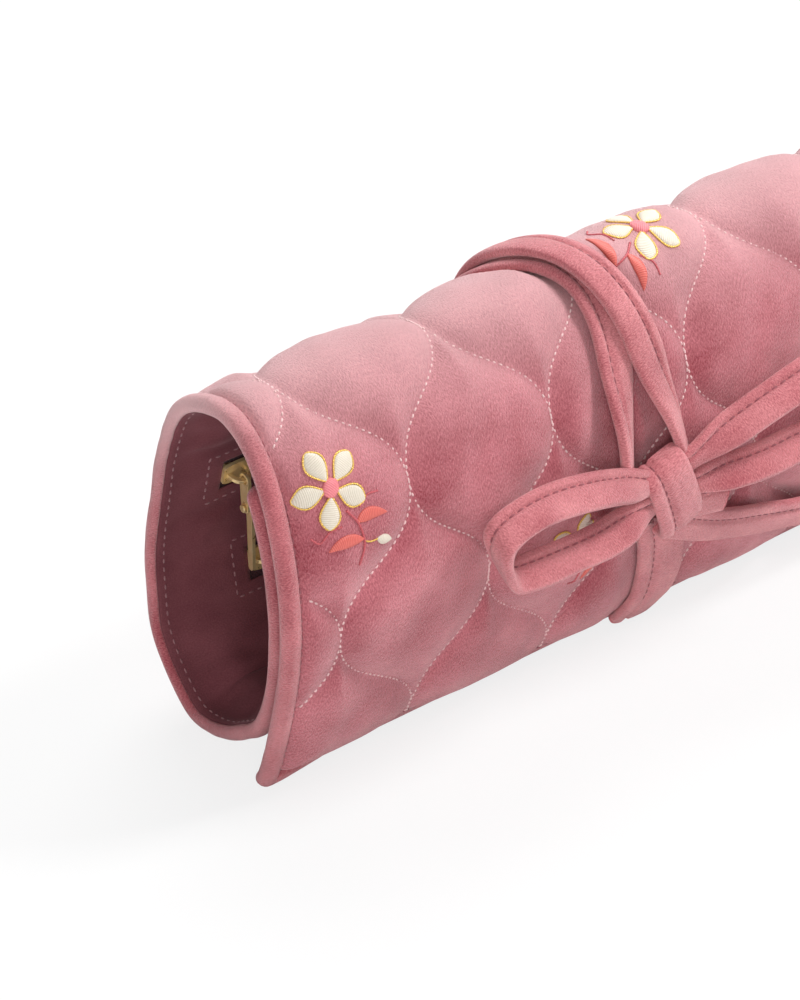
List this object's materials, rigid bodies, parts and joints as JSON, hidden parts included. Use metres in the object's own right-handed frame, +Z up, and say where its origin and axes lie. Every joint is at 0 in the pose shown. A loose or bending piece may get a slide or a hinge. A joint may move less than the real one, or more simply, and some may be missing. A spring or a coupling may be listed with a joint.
{
  "type": "jewelry roll",
  "caption": "Quilted velvet jewelry roll, rolled up and tied with a velvet bow, with a bound edge and zipped pockets inside.",
  "frame": {"origin": "centre of the bounding box's underside, on the table", "axes": "+X along the roll, +Y towards its back, away from the bow, +Z up"},
  "size_m": [0.21, 0.0882, 0.1122],
  "materials": {
    "cover_velvet": "dusky rose cotton velvet, quilted",
    "binding_velvet": "dusky rose cotton velvet strip",
    "tie_velvet": "dusky rose cotton velvet strap",
    "lining": "dark mauve brushed lining",
    "wadding": "loose white wadding",
    "zip_tape": "dark burgundy woven tape",
    "zip_teeth": "dark burgundy nylon",
    "gold_metal": "polished pale gold"
  },
  "bodies": {
    "roll": {"quilted_cover": "cover_velvet", "wadding_layer": "wadding", "upper_zip_tape_above": "zip_tape", "upper_zip_tape_below": "zip_tape", "upper_zip_teeth_above": "zip_teeth", "upper_zip_teeth_below": "zip_teeth", "upper_zip_near_stop": "gold_metal", "upper_zip_far_stop": "gold_metal", "lower_zip_tape_above": "zip_tape", "lower_zip_tape_below": "zip_tape", "lower_zip_teeth_above": "zip_teeth", "lower_zip_teeth_below": "zip_teeth", "lower_zip_near_stop": "gold_metal", "lower_zip_far_stop": "gold_metal", "lining_sheet": "lining", "upper_pocket_panel": "lining", "lower_pocket_panel": "lining", "near_end_binding": "binding_velvet", "far_end_binding": "binding_velvet", "flap_edge_binding": "binding_velvet", "inner_edge_binding": "binding_velvet", "tie_left_run": "tie_velvet", "tie_right_run": "tie_velvet", "tie_front_run": "tie_velvet", "tie_knot": "tie_velvet", "tie_left_loop": "tie_velvet", "tie_right_loop": "tie_velvet", "tie_long_tail": "tie_velvet", "tie_short_tail": "tie_velvet"},
    "upper_slider": {"upper_zip_slider": "gold_metal"},
    "upper_link": {"upper_pull_link": "gold_metal", "upper_pull_rivet": "gold_metal"},
    "upper_tab": {"upper_pull_tab": "gold_metal"},
    "lower_slider": {"lower_zip_slider": "gold_metal"},
    "lower_link": {"lower_pull_link": "gold_metal", "lower_pull_rivet": "gold_metal"},
    "lower_tab": {"lower_pull_tab": "gold_metal"}
  },
  "joints": [
    {"name": "upper_zip_slide", "type": "slide", "parent": "roll", "child": "upper_slider", "axis": [1, 0, 0], "range_m": [0, 0.16]},
    {"name": "upper_pull_swing", "type": "hinge", "parent": "upper_slider", "child": "upper_link", "pos_m": [-0.0815, 0.02634, 0.06336], "axis": [1, 0, 0], "range_deg": [-95, 2]},
    {"name": "upper_tab_swing", "type": "hinge", "parent": "upper_link", "child": "upper_tab", "pos_m": [-0.0815, 0.02634, 0.05486], "axis": [1, 0, 0], "range_deg": [-60, 4]},
    {"name": "lower_zip_slide", "type": "slide", "parent": "roll", "child": "lower_slider", "axis": [1, 0, 0], "range_m": [0, 0.14]},
    {"name": "lower_pull_swing", "type": "hinge", "parent": "lower_slider", "child": "lower_link", "pos_m": [-0.0725, 0.02866, 0.03313], "axis": [1, 0, 0], "range_deg": [-55, 0]},
    {"name": "lower_tab_swing", "type": "hinge", "parent": "lower_link", "child": "lower_tab", "pos_m": [-0.0725, 0.02255, 0.02722], "axis": [1, 0, 0], "range_deg": [-60, 0]}
  ]
}
